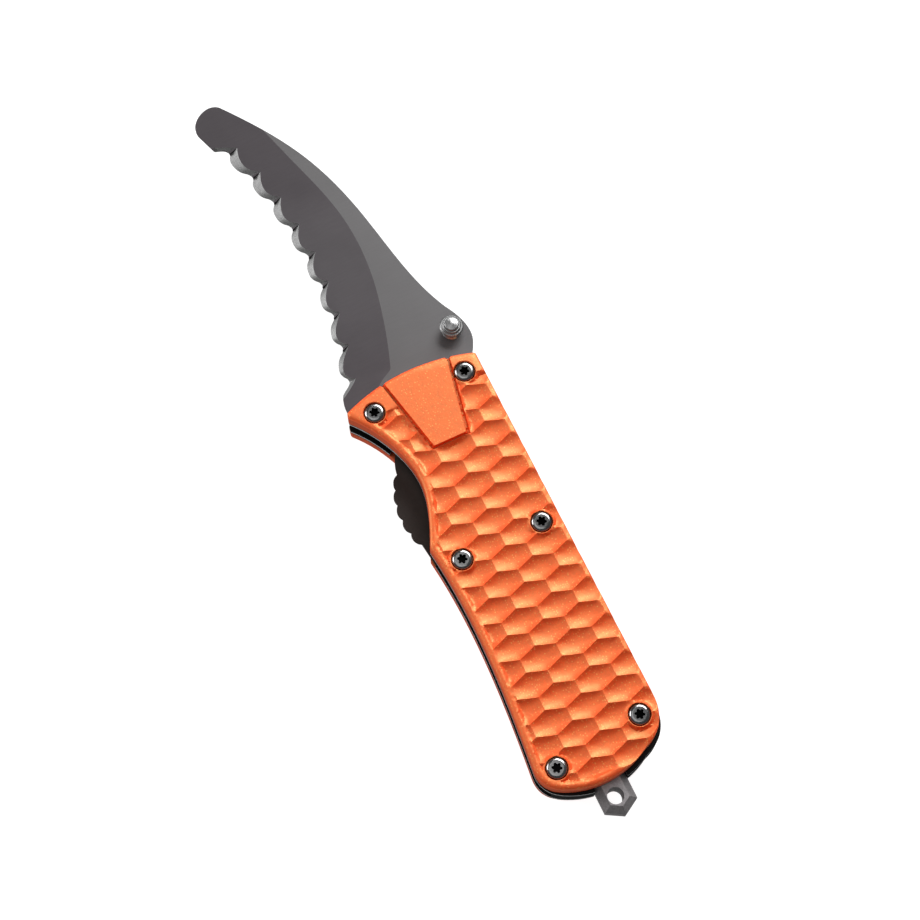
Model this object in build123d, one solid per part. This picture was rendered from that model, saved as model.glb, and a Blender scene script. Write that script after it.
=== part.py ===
from build123d import *
import math
import os

# A folding one-hand knife for cutting rope, with a serrated blade, a liner lock and a lanyard lug.
# The frame: the pivot's axis is Z, +X runs from the pivot to the blade's tip when the knife is open,
# +Y is the side where the blade comes out, and Z = 0 is the face of the rear scale. Millimetres.

os.makedirs("parts", exist_ok=True)

# ---- driving dimensions: the stack, from the rear face to the front face ----
SCALE = 4.2
LINER = 1.2
WASHER = 0.3
BLADE = 3.0
Z_REAR_LINER = SCALE
Z_REAR_WASHER = Z_REAR_LINER + LINER
Z_BLADE = Z_REAR_WASHER + WASHER
Z_FRONT_WASHER = Z_BLADE + BLADE
Z_FRONT_LINER = Z_FRONT_WASHER + WASHER
Z_FRONT_SCALE = Z_FRONT_LINER + LINER
Z_TOP = Z_FRONT_SCALE + SCALE
Z_MIDDLE = Z_BLADE + BLADE / 2
SLOT = Z_FRONT_LINER - Z_REAR_WASHER

# ---- the handle's outline ----
BOLSTER = [(3.3, -18.1), (6.0, -2.0), (2.2, 16.2)]
NOSE = (0.9, 16.4)
THUMB_NOTCH = [(-4.0, 12.75), (-10.5, 9.55), (-20.5, 7.6), (-29.6, 9.7)]
NOTCH_END = (-36.5, 12.7)
BELLY = [(-54.0, 11.5), (-72.9, 12.05), (-92.3, 13.85)]
BUTT_CORNER = [(-96.6, 13.3), (-99.7, 10.0)]
BUTT_MIDDLE = (-102.0, -0.5)
BUTT_BACK = [(-99.2, -10.6), (-96.5, -15.2), (-90.0, -17.9)]
CORNER_R = 0.7
RIM = 0.6
BUTT_PROUD = 1.0
CORNER_PROUD = [(0.1, 0.2), (0.5, 0.2)]
BACK_PROUD = 0.3

# ---- the fasteners: where each pair of scale screws sits, and the pillars that join some pairs ----
SCREWS = {
    "nose": (-0.7, 10.3),
    "stop": (-0.3, -13.5),
    "spine": (-42.0, -13.3),
    "belly": (-42.3, 7.2),
    "butt_belly": (-94.8, 9.2),
    "butt_spine": (-92.0, -12.9),
}
PILLARS = {
    "stop_pin": "stop",
    "spine_pillar": "spine",
    "butt_spine_pillar": "butt_spine",
}
PILLAR_R = 2.5
HEAD_R = 2.5
HEAD_H = 1.6
HEAD_ROUND = 0.95
SHANK_R = 1.25
THREAD_GAP = 0.05
COUNTERBORE_GAP = 0.25
FRONT_PROUD = 0.35
REAR_SUNK = 0.05
SOCKET_R = 0.9
SOCKET_LOBE = 0.34
SOCKET_DEPTH = 1.15
THREAD_IN_PILLAR = 1.7

# ---- the badge: a trapezoid outlined by a groove, left blank ----
BADGE_FRONT_X = 8.0
BADGE_REAR_X = -14.7
BADGE_Y = -3.05
BADGE_FRONT_HALF = 9.15
BADGE_REAR_HALF = 4.55
GROOVE_W = 0.8
GROOVE_DEPTH = 0.8

# ---- the pivot ----
PIVOT_R = 2.5
RUNNING_GAP = 0.03
FLANGE_R = 4.5
FLANGE_H = 1.1
POCKET_GAP = 0.15
PIVOT_SCREW_END = 1.0
WASHER_R = 6.5

# ---- the blade ----
TANG_R = 9.5
TANG_STEP = 0.4
CLOSED_DEG = 174.0
STOP_GAP_DEG = 0.15
SCALLOPS = 8
FIRST_NOTCH_X = 11.8
SCALLOP_PITCH = 8.83
EDGE_LOW = (44.6, 6.65)
EDGE_BEND = 0.00453
BUMP_SHAPE = [(0.12, 0.15), (0.22, 0.56), (0.36, 0.93), (0.52, 1.0), (0.70, 0.83), (0.84, 0.44),
              (0.92, 0.13)]
NOTCH_EASE = 0.5
BUMP_HEEL = 2.2
BUMP_TIP = 1.85
BEVEL_SHAPE = [(0.07, 0.42), (0.18, 0.78), (0.35, 1.0), (0.52, 0.94), (0.70, 0.70), (0.86, 0.36)]
BEVEL_HEEL = 2.75
BEVEL_TIP = 2.15
BEVEL_AT_NOTCH_HEEL = 1.8
BEVEL_AT_NOTCH_TIP = 2.5
BEVEL_OVERRUN = 0.5
HEEL = [(5.2, 15.3), (8.4, 14.8), (9.5, 14.3)]
HEEL_FLANK = [(10.2, 13.45), (11.0, 12.3)]
HEEL_BEVEL = [(10.8, 10.9), (9.75, 12.35), (8.9, 13.65), (7.4, 16.4)]
HEEL_BEVEL_END = (8.1, 16.6)
TIP_CORNER = (84.3, 16.3)
TIP_CORNER_WAY = (0.3, 1.0)
TIP_NOSE = [(89.8, 18.2), (92.9, 17.9), (95.1, 15.7), (95.9, 12.9), (94.8, 10.3)]
SPINE_TIP = [(84.3, 3.1), (72.5, -3.4), (62.0, -7.3), (52.5, -9.7), (43.0, -11.45), (31.0, -13.8)]
SPINE_HUMP = [(19.5, -17.7), (13.5, -20.2), (9.8, -20.4), (6.6, -19.0)]
GRIND_LINE = [(10.1, 1.4), (11.2, 0.9), (16.0, -0.7), (25.1, -3.2), (36.0, -5.2), (47.3, -5.6),
              (58.0, -4.2), (70.3, -0.9), (84.0, 3.0), (98.0, 7.6)]
PLUNGE = [(3.6, 12.2), (6.6, 6.6), (9.1, 3.0)]
GROUND_HALF = 0.55
EDGE_HALF = 0.45
PAST_EDGE = 4.5
PAST_EDGE_DROP = 0.37
PAST_TIP_Y = 24.0
BEVEL_RISE = 0.085
BEVEL_CLEAR = 0.1
TIP_BEVEL = (0.9, 0.3)
HEEL_R = 15.3
SHOULDER_R = 17.6

# ---- the thumb stud ----
STUD = (12.9, -16.4)
STUD_TURNED = [(2.4, 0.0), (1.9, 0.5), (1.9, 1.7), (2.9, 2.3), (2.9, 2.7), (2.65, 2.95), (2.3, 2.95),
               (2.3, 3.3), (2.1, 3.5), (1.75, 3.5), (1.75, 3.8)]
STUD_H = 4.4
STUD_EDGE_H = 4.15
STUD_EDGE_R = 0.72

# ---- the liner lock, a leaf that springs up behind the tang ----
LOCK_FACE_X = -7.0
LOCK_LOW_Y = 0.6
LOCK_HIGH_Y = 6.6
LOCK_GAP = 0.05
LOCK_RISE = 1.7
LOCK_SLOT = 0.5
LOCK_ROOT_X = -38.5
LOCK_ROOT_Y = 3.0
LOCK_ROOT_DROP = 0.5
LEAF_SHOULDER = (-9.6, 9.3)
WINDOW_CORNER = (-9.0, 11.0)
WINDOW_RISE = 1.0
PAST_HANDLE = 20.0
ROOT_GAP = 0.08
PAD_START = (-14.5, 11.1)
PAD_TOP = (-23.6, 14.4)
PAD_END = (-32.3, 13.0)
PAD_BUMPS = 5
PAD_BUMP_H = 0.8
DETENT = (-12.0, 5.0)
DETENT_R = 0.65
DETENT_PROUD = 0.2

# ---- the butt: spacer and lanyard lug ----
SPACER_FRONT_X = -87.8
SWING_R = 97.4
SPACER_LOW_Y = -10.0
SPACER_HIGH_Y = 12.0
LUG_Y = -0.8
LUG_HALF = 4.0
LUG_T = 5.8
LUG_SHOULDER_X = -107.6
LUG_END_X = -109.9
LUG_FOOT_X = -98.6
LUG_FOOT_BACK_X = -101.2
LUG_FOOT_HALF = 6.2
LUG_HOLE = (-105.3, -0.4)
LUG_HOLE_R = 1.9
LUG_CHAMFER = 1.6
FIT = 0.08


def plate(outline, z, thickness):
    """A flat plate: a closed outline's area, from height z up."""
    return Pos(0, 0, z) * extrude(make_face(outline), thickness)


def rod(x, y, radius, z0, z1):
    """An upright cylinder between two heights."""
    return Pos(x, y, (z0 + z1) / 2) * Cylinder(radius, z1 - z0)


def block(x0, x1, y0, y1, z0, z1):
    """A box between two corners."""
    middle = Pos((x0 + x1) / 2, (y0 + y1) / 2, (z0 + z1) / 2)
    return middle * Box(x1 - x0, y1 - y0, z1 - z0)


def handle_outline(proud=0.0):
    """The handle's side view. The butt end can stand proud, as the liners' does."""
    start, corner = [(x - proud * a, y + proud * b) for (x, y), (a, b) in zip(BUTT_CORNER, CORNER_PROUD)]
    middle = (BUTT_MIDDLE[0] - proud, BUTT_MIDDLE[1])
    back = [(x - proud, y - proud * BACK_PROUD) for x, y in BUTT_BACK[:2]]
    return [
        ThreePointArc(*BOLSTER),
        Line(BOLSTER[2], NOSE),
        Spline(NOSE, *THUMB_NOTCH, NOTCH_END),
        Spline(NOTCH_END, *BELLY),
        Spline(BELLY[-1], start, corner),
        ThreePointArc(corner, middle, back[0]),
        Spline(back[0], back[1], BUTT_BACK[2]),
        Line(BUTT_BACK[2], BOLSTER[0]),
    ]


def handle_face(proud=0.0):
    """The area inside the handle's outline, with softened corners at the nose and the spine."""
    area = make_face(handle_outline(proud))
    sharp = (BOLSTER[0], BOLSTER[2], NOSE)
    corners = [v for v in area.vertices() if any(math.dist((v.X, v.Y), p) < 0.1 for p in sharp)]
    return fillet(corners, CORNER_R)


def badge_groove():
    """The groove round the badge: two slanted sides and the end, open toward the bolster."""
    def trapezoid(grow):
        return make_face(Polyline(
            (BADGE_FRONT_X, BADGE_Y - BADGE_FRONT_HALF - grow),
            (BADGE_FRONT_X, BADGE_Y + BADGE_FRONT_HALF + grow),
            (BADGE_REAR_X - grow, BADGE_Y + BADGE_REAR_HALF + grow),
            (BADGE_REAR_X - grow, BADGE_Y - BADGE_REAR_HALF - grow),
            close=True))
    ring = extrude(trapezoid(GROOVE_W / 2), GROOVE_DEPTH) - extrude(trapezoid(-GROOVE_W / 2), GROOVE_DEPTH)
    return Pos(0, 0, Z_TOP - GROOVE_DEPTH) * ring


def make_scale(front):
    """One moulded handle scale, with its screw seats and the pocket over the pivot."""
    z = Z_FRONT_SCALE if front else 0.0
    face_z = Z_TOP if front else 0.0
    side = 1 if front else -1
    area = handle_face()
    straight = extrude(area, SCALE - RIM)
    rim = extrude(area, RIM, taper=45)
    if front:
        body = Pos(0, 0, z) * straight + Pos(0, 0, Z_TOP - RIM) * rim
    else:
        body = Pos(0, 0, RIM) * straight + Pos(0, 0, RIM) * rim.mirror(Plane.XY)
    sunk = HEAD_H - (FRONT_PROUD if front else -REAR_SUNK)
    for x, y in SCREWS.values():
        body -= Pos(x, y, face_z - side * sunk / 2) * Cylinder(HEAD_R + COUNTERBORE_GAP, sunk)
        body -= Pos(x, y, z + SCALE / 2) * Cylinder(SHANK_R + 2 * THREAD_GAP, SCALE)
    pocket_h = FLANGE_H + POCKET_GAP
    inner_z = Z_FRONT_SCALE + pocket_h / 2 if front else SCALE - pocket_h / 2
    body -= Pos(0, 0, inner_z) * Cylinder(FLANGE_R + POCKET_GAP, pocket_h)
    return body - badge_groove() if front else body


def lug_notch(body):
    """Cut the slot that the lanyard lug comes out through."""
    half = LUG_HALF + FIT
    slot = block(LUG_END_X, LUG_FOOT_X + FIT, LUG_Y - half, LUG_Y + half, 0, Z_TOP)
    return body - slot


def make_liner(z):
    """A steel liner, with the holes for the pivot and the scale screws."""
    body = lug_notch(Pos(0, 0, z) * extrude(handle_face(BUTT_PROUD), LINER))
    body -= rod(0, 0, PIVOT_R + RUNNING_GAP, z, z + LINER)
    for x, y in SCREWS.values():
        body -= rod(x, y, SHANK_R + THREAD_GAP, z, z + LINER)
    return body


def pad_edge():
    """The scalloped pad of the lock leaf: equal small bumps along an arc."""
    arc = ThreePointArc(PAD_START, PAD_TOP, PAD_END)
    marks = [arc @ (n / PAD_BUMPS) for n in range(PAD_BUMPS + 1)]
    bumps = []
    for n in range(PAD_BUMPS):
        outward = (arc % ((n + 0.5) / PAD_BUMPS)).rotate(Axis.Z, 90)
        outward = outward if outward.Y > 0 else -outward
        top = (marks[n] + marks[n + 1]) * 0.5 + outward.normalized() * PAD_BUMP_H
        bumps.append(ThreePointArc(marks[n], top, marks[n + 1]))
    return bumps


def leaf_outline():
    """The lock leaf's side view."""
    tip_x = LOCK_FACE_X - LOCK_GAP
    root_top = (LOCK_ROOT_X, NOTCH_END[1] - LOCK_ROOT_DROP)
    return [
        Line((tip_x, LOCK_LOW_Y), (tip_x, LOCK_HIGH_Y)),
        Spline((tip_x, LOCK_HIGH_Y), LEAF_SHOULDER, PAD_START),
        *pad_edge(),
        Line(PAD_END, root_top),
        Line(root_top, (LOCK_ROOT_X, LOCK_ROOT_Y)),
        Line((LOCK_ROOT_X, LOCK_ROOT_Y), (tip_x, LOCK_LOW_Y)),
    ]


def leaf_window():
    """The opening of the rear liner that the lock leaf is cut from, with the slot around it."""
    tip_x = LOCK_FACE_X + LOCK_SLOT
    low = LOCK_SLOT
    return plate(Polyline(
        (tip_x, LOCK_LOW_Y - low),
        (tip_x, LOCK_HIGH_Y + WINDOW_RISE),
        WINDOW_CORNER,
        (WINDOW_CORNER[0], PAST_HANDLE),
        (LOCK_ROOT_X - ROOT_GAP, PAST_HANDLE),
        (LOCK_ROOT_X - ROOT_GAP, LOCK_ROOT_Y - low),
        close=True), Z_REAR_LINER, LINER)


LOCK_DEG = math.degrees(math.asin(LOCK_RISE / (LOCK_FACE_X - LOCK_ROOT_X)))
LEAF_AXIS = Axis((LOCK_ROOT_X, 0, Z_REAR_LINER + LINER / 2), (0, 1, 0))


def make_lock():
    """The lock leaf, sprung up behind the tang, and the detent ball pressed into it."""
    leaf = plate(leaf_outline(), Z_REAR_LINER, LINER)
    ball_z = Z_REAR_WASHER + DETENT_PROUD - DETENT_R
    leaf -= rod(*DETENT, DETENT_R, ball_z, Z_REAR_WASHER)
    leaf -= Pos(*DETENT, ball_z) * Sphere(DETENT_R)
    ball = Pos(*DETENT, ball_z) * Sphere(DETENT_R)
    return leaf.rotate(LEAF_AXIS, -LOCK_DEG), ball.rotate(LEAF_AXIS, -LOCK_DEG)


def edge_y(x):
    """The line through the cusps of the serrated edge, a shallow bow."""
    return EDGE_LOW[1] + EDGE_BEND * (x - EDGE_LOW[0]) ** 2


def polar(radius, degrees):
    """A point at an angle round the pivot."""
    a = math.radians(degrees)
    return (radius * math.cos(a), radius * math.sin(a))


def tang_angles():
    """Where the tang's two shoulders stand, so that both meet the stop pin at the ends of the travel."""
    x, y = SCREWS["stop"]
    pin = math.degrees(math.atan2(y, x))
    half = math.degrees(math.asin(PILLAR_R / math.hypot(x, y))) + STOP_GAP_DEG
    return pin + half, pin - half - CLOSED_DEG + 360


def edge_direction(x):
    """The direction of the line through the notches."""
    return (1.0, 2 * EDGE_BEND * (x - EDGE_LOW[0]))


def toward_tip(n, at_heel, at_tip):
    """A size that changes evenly from the first scallop to the last."""
    return at_heel + n / (SCALLOPS - 1) * (at_tip - at_heel)


def scallop(n):
    """The outline of scallop n, counted from the heel: a bulge between two rounded notches."""
    bulge = toward_tip(n, BUMP_HEEL, BUMP_TIP)
    points = []
    for share, rise in [(0, 0), *BUMP_SHAPE, (1, 0)]:
        x = FIRST_NOTCH_X + (n + share) * SCALLOP_PITCH
        points.append((x, edge_y(x) + rise * bulge))
    return points


def bevel_inside(n):
    """The inner line of scallop n's bevel: the same bulge, drawn back from the edge."""
    bulge = toward_tip(n, BEVEL_HEEL, BEVEL_TIP)
    points = []
    for share, rise in [(0, 0), *BEVEL_SHAPE, (1, 0)]:
        x = FIRST_NOTCH_X + (n + share) * SCALLOP_PITCH
        depth = toward_tip(n + share - 0.5, BEVEL_AT_NOTCH_HEEL, BEVEL_AT_NOTCH_TIP)
        points.append((x, edge_y(x) - depth + rise * bulge))
    return points


def wave(points):
    """A smooth curve through one scallop's points, level with the edge's line at both ends."""
    ends = [edge_direction(points[0][0]), edge_direction(points[-1][0])]
    return Spline(*points, tangents=ends, tangent_scalars=[NOTCH_EASE, NOTCH_EASE])


def blade_outline():
    """The blade's side view, from the tang round the serrated edge, the tip and the spine."""
    open_deg, closed_deg = tang_angles()
    root_open = polar(TANG_R, open_deg)
    root_closed = polar(TANG_R, closed_deg)
    heel = polar(HEEL_R, closed_deg)
    shoulder = polar(SHOULDER_R, open_deg)
    first = scallop(0)[0]
    last = scallop(SCALLOPS - 1)[-1]
    flat_top = (LOCK_FACE_X, math.sqrt(TANG_R**2 - LOCK_FACE_X**2))
    step_y = LOCK_LOW_Y - TANG_STEP
    flat_low = (LOCK_FACE_X, step_y)
    step = (-math.sqrt(TANG_R**2 - step_y**2), step_y)
    turn = math.degrees(math.atan2(flat_top[1], flat_top[0]))
    back = math.degrees(math.atan2(step[1], step[0]))
    return [
        Line(root_closed, heel),
        Line(heel, HEEL[0]),
        Spline(*HEEL),
        Spline(HEEL[-1], *HEEL_FLANK, first),
        *[wave(scallop(n)) for n in range(SCALLOPS)],
        Spline(last, TIP_CORNER, tangents=[edge_direction(last[0]), TIP_CORNER_WAY]),
        Line(TIP_CORNER, TIP_NOSE[0]),
        Spline(*TIP_NOSE),
        Spline(TIP_NOSE[-1], *SPINE_TIP, SPINE_HUMP[0]),
        Spline(*SPINE_HUMP),
        Line(SPINE_HUMP[-1], shoulder),
        Line(shoulder, root_open),
        ThreePointArc(root_open, polar(TANG_R, (open_deg + back - 360) / 2), step),
        Line(step, flat_low),
        Line(flat_low, flat_top),
        ThreePointArc(flat_top, polar(TANG_R, (turn + closed_deg) / 2), root_closed),
    ]


def lifted(curve_points, height):
    """Points of the side view raised to one height."""
    return [(x, y, height) for x, y in curve_points]


def grind_cutter():
    """What the primary grind takes off the front side, over a ruled slope from grind line to edge."""
    line = PLUNGE + GRIND_LINE
    beyond = [(x, edge_y(x) + PAST_EDGE) for x, y in line[:-1]]
    beyond.append((line[-1][0], PAST_TIP_Y))
    high = Spline(*lifted(line, Z_BLADE + BLADE))
    low = Spline(*lifted(beyond, Z_MIDDLE + GROUND_HALF - PAST_EDGE_DROP))
    slope = Face.make_surface_from_curves(high.edge(), low.edge())
    return Solid.extrude(slope, Vector(0, 0, BLADE))


def bevel_z(x, y):
    """How high a bevel's inner line is: a little over the primary grind, which falls toward the edge."""
    return Z_MIDDLE + GROUND_HALF + BEVEL_CLEAR + BEVEL_RISE * (edge_y(x) - y)


def outset(outer, inner):
    """A point a little past the outer one, on the line from the inner one."""
    gap = math.dist(outer[:2], inner[:2])
    return tuple(a + BEVEL_OVERRUN / gap * (a - b) for a, b in zip(outer, inner))


def bevel_cutter(outer, inner):
    """What one bevel takes off the front side, over a ruled slope between its edge and its inner line."""
    low = [(x, y, Z_MIDDLE - EDGE_HALF) for x, y in outer]
    high = [(x, y, bevel_z(x, y)) for x, y in inner]
    edge = [outset(a, b) for a, b in zip(low, high)]
    slope = Face.make_surface_from_curves(Spline(*edge).edge(), Spline(*high).edge())
    return Solid.extrude(slope, Vector(0, 0, BLADE))


def bevel_cutters():
    """The bevels of all the scallops, the flat one at the tip's corner and the one down to the heel."""
    cutters = [bevel_cutter(scallop(n), bevel_inside(n)) for n in range(SCALLOPS)]
    notch = scallop(SCALLOPS - 1)[-1]
    middle = tuple((a + b) / 2 for a, b in zip(notch, TIP_CORNER))
    inside = bevel_inside(SCALLOPS - 1)[-1]
    corner_in = (TIP_CORNER[0] + TIP_BEVEL[0], TIP_CORNER[1] - TIP_BEVEL[1])
    middle_in = tuple((a + b) / 2 for a, b in zip(inside, corner_in))
    cutters.append(bevel_cutter([notch, middle, TIP_CORNER], [inside, middle_in, corner_in]))
    flank = [scallop(0)[0], HEEL_FLANK[1], HEEL_FLANK[0], HEEL[-1], HEEL_BEVEL_END]
    cutters.append(bevel_cutter(flank, [bevel_inside(0)[0], *HEEL_BEVEL]))
    return cutters


def make_blade():
    """The blade: a ground plate with serrations bevelled from the front, and its pivot bore."""
    body = plate(blade_outline(), Z_BLADE, BLADE)
    grind = grind_cutter()
    body -= grind
    body -= grind.mirror(Plane.XY.offset(Z_MIDDLE))
    for cutter in bevel_cutters():
        body -= cutter
    body -= rod(0, 0, PIVOT_R + RUNNING_GAP, Z_BLADE, Z_FRONT_WASHER)
    return body - rod(*STUD, SHANK_R, Z_BLADE, Z_FRONT_WASHER)


def make_thumb_stud():
    """The turned thumb stud: a waist, a flange, a ring and a domed button, riveted through the blade."""
    z = Z_FRONT_WASHER
    turned = [(r, z + height) for r, height in STUD_TURNED]
    profile = Polyline((0, z - BLADE), (SHANK_R, z - BLADE), (SHANK_R, z), *turned)
    rim_r = STUD_TURNED[-1][0]
    dome = Spline(turned[-1], (rim_r * STUD_EDGE_R, z + STUD_EDGE_H), (0, z + STUD_H),
                  tangents=[(0, 1), (-1, 0)])
    section = make_face([*profile.edges(), dome, Line((0, z + STUD_H), (0, z - BLADE))])
    return Pos(*STUD, 0) * revolve(Plane.XZ * section, Axis.Z)


def make_screw(name, front):
    """One button-head screw with a six-lobe socket."""
    x, y = SCREWS[name]
    joined = name in PILLARS.values()
    seat = Z_TOP + FRONT_PROUD - HEAD_H if front else HEAD_H + REAR_SUNK
    liner_inner = Z_FRONT_LINER if front else Z_REAR_WASHER
    end = liner_inner + (-THREAD_IN_PILLAR if joined else THREAD_GAP) * (1 if front else -1)
    side = 1 if front else -1
    head = fillet(Cylinder(HEAD_R, HEAD_H).edges().sort_by(Axis.Z)[-1], HEAD_ROUND)
    socket = Cylinder(SOCKET_R, SOCKET_DEPTH)
    for n in range(6):
        socket += Rot(0, 0, 60 * n) * Pos(SOCKET_R, 0, 0) * Cylinder(SOCKET_LOBE, SOCKET_DEPTH)
    head -= Pos(0, 0, (HEAD_H - SOCKET_DEPTH) / 2) * socket
    shank_length = abs(seat - end)
    shank = Pos(0, 0, -(HEAD_H + shank_length) / 2) * Cylinder(SHANK_R, shank_length)
    screw = head + shank
    turn = Rot(0, 0, 0) if front else Rot(180, 0, 0)
    return Pos(x, y, seat + side * HEAD_H / 2) * turn * screw


def make_pillar(name):
    """A tubular pillar between the liners, threaded for a screw from each side."""
    x, y = SCREWS[name]
    outer = rod(x, y, PILLAR_R, Z_REAR_WASHER, Z_FRONT_LINER)
    return outer - rod(x, y, SHANK_R + THREAD_GAP, Z_REAR_WASHER, Z_FRONT_LINER)


def make_pivot():
    """The flanged pivot barrel and the flat-headed screw that closes it."""
    barrel = rod(0, 0, PIVOT_R, Z_REAR_LINER, Z_FRONT_SCALE)
    barrel += rod(0, 0, FLANGE_R, Z_REAR_LINER - FLANGE_H, Z_REAR_LINER)
    barrel -= rod(0, 0, SHANK_R + THREAD_GAP, Z_BLADE, Z_FRONT_SCALE)
    screw = rod(0, 0, FLANGE_R, Z_FRONT_SCALE, Z_FRONT_SCALE + FLANGE_H)
    screw += rod(0, 0, SHANK_R, Z_BLADE + PIVOT_SCREW_END, Z_FRONT_SCALE)
    return barrel, screw


def make_washer(z):
    """A thin bronze washer beside the tang."""
    outer = rod(0, 0, WASHER_R, z, z + WASHER)
    return outer - rod(0, 0, PIVOT_R + RUNNING_GAP, z, z + WASHER)


def make_back_spacer():
    """The spacer between the liners at the butt, with room for the closed blade's tip and the lug's foot."""
    body = plate(handle_outline(BUTT_PROUD), Z_REAR_WASHER, SLOT)
    body -= block(SPACER_FRONT_X, PAST_HANDLE, -PAST_HANDLE, PAST_HANDLE, 0, Z_TOP)
    body -= block(LUG_END_X, 0, SPACER_HIGH_Y, PAST_HANDLE, 0, Z_TOP)
    body -= rod(0, 0, SWING_R, 0, Z_TOP) & block(-SWING_R, 0, SPACER_LOW_Y, PAST_HANDLE, 0, Z_TOP)
    foot = LUG_FOOT_HALF + FIT
    body -= block(LUG_FOOT_BACK_X - FIT, LUG_FOOT_X + FIT, LUG_Y - foot, LUG_Y + foot, 0, Z_TOP)
    body -= rod(*SCREWS["butt_spine"], PILLAR_R + FIT, 0, Z_TOP)
    return lug_notch(body)


def make_lanyard_lug():
    """The steel lanyard lug: a drilled block with a pointed, chamfered end and a T-shaped foot."""
    z0 = Z_MIDDLE - LUG_T / 2
    low, high = LUG_Y - LUG_HALF, LUG_Y + LUG_HALF
    side = make_face(Polyline(
        (LUG_FOOT_X, low), (LUG_SHOULDER_X, low), (LUG_END_X, LUG_Y),
        (LUG_SHOULDER_X, high), (LUG_FOOT_X, high), close=True))
    body = Pos(0, 0, z0) * extrude(side, LUG_T)
    rim = [e for e in body.edges()
           if e.center().X < LUG_FOOT_X - LUG_CHAMFER and abs(e.center().Z - Z_MIDDLE) > LUG_T / 4]
    body = chamfer(rim, LUG_CHAMFER)
    body += block(LUG_FOOT_BACK_X, LUG_FOOT_X, LUG_Y - LUG_FOOT_HALF, LUG_Y + LUG_FOOT_HALF,
                  Z_REAR_WASHER + FIT, Z_FRONT_LINER - FIT)
    return body - rod(*LUG_HOLE, LUG_HOLE_R, z0, z0 + LUG_T)


def all_parts():
    """Every node and its solid."""
    lock_bar, detent_ball = make_lock()
    pivot_barrel, pivot_screw = make_pivot()
    parts = {
        "front_scale": make_scale(True),
        "rear_scale": make_scale(False),
        "front_liner": make_liner(Z_FRONT_LINER),
        "rear_liner": make_liner(Z_REAR_LINER) - leaf_window(),
        "lock_bar": lock_bar,
        "detent_ball": detent_ball,
        "blade": make_blade(),
        "thumb_stud": make_thumb_stud(),
        "pivot_barrel": pivot_barrel,
        "pivot_screw": pivot_screw,
        "front_washer": make_washer(Z_FRONT_WASHER),
        "rear_washer": make_washer(Z_REAR_WASHER),
        "back_spacer": make_back_spacer(),
        "lanyard_lug": make_lanyard_lug(),
    }
    for pillar, place in PILLARS.items():
        parts[pillar] = make_pillar(place)
    for place in SCREWS:
        parts["front_screw_" + place] = make_screw(place, True)
        parts["rear_screw_" + place] = make_screw(place, False)
    return parts


for node, solid in all_parts().items():
    export_step(solid, f"parts/{node}.step")
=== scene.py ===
import bpy
import bmesh
import math
import numpy as np
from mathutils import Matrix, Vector
from mathutils.geometry import delaunay_2d_cdt
from mathutils.kdtree import KDTree


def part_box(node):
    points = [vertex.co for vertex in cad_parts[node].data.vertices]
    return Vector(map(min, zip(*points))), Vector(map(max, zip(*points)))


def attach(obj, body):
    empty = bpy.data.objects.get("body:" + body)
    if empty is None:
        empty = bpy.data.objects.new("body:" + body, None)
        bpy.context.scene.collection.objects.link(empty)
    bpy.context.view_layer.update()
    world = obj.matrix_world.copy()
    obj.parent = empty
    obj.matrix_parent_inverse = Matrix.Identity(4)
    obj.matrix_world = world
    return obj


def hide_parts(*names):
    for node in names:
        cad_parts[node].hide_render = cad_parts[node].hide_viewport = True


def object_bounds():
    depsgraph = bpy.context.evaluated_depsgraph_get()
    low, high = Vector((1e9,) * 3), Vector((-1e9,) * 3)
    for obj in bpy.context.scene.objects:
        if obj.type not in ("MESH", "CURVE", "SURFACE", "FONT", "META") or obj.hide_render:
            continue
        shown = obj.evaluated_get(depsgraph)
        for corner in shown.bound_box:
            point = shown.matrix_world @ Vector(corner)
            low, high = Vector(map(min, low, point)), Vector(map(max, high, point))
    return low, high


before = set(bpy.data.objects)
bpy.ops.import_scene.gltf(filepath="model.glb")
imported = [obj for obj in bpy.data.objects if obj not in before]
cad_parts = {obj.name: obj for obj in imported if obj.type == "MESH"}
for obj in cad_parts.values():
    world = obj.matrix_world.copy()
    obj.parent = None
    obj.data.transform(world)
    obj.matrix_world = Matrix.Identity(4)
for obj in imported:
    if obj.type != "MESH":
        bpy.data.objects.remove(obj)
cad_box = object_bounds()

MM = 0.001
SCREW_PLACES = ("nose", "stop", "spine", "belly", "butt_belly", "butt_spine")

# ---- the camera: the show side from above, the knife lying diagonally ----
AZIMUTH = math.radians(244.4)
ELEVATION = math.radians(70.0)
DISTANCE = 435 * MM
FOCAL_MM = 72.6
SENSOR_MM = 36.0
CLIP = (0.01, 100.0)
AIM_XY = (-20.17 * MM, -2.81 * MM)

# ---- the studio, in metres: each light's name, size, power, and place right, ahead and above ----
LIGHTS = (
    ("key", 0.75, 17.0, 0.32, 0.80, 0.58),
    ("left", 0.5, 4.5, -0.85, 0.20, 0.35),
    ("top", 0.8, 1.8, -0.2, -0.1, 1.0))
WORLD_STRENGTH = 0.11
FLOOR_HALF = 30.0
FLOOR_GAP = 0.0001
FLOOR_GREY = 0.3
FLOOR_ROUGHNESS = 0.9
FLOOR_GLOW = 0.94

# ---- the scales' hexagonal dimples, in millimetres: rows across the handle, cells in a row ----
ROW_X = -61.31
ROW_PITCH = 4.812
ROW_GROWTH = 0.0114
CELL_Y = 4.52
LATTICE_Y = 1.2
STRETCH = 0.61
DIMPLE_DEPTH = 1.05
DIMPLE_POWER = 2.5

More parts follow.
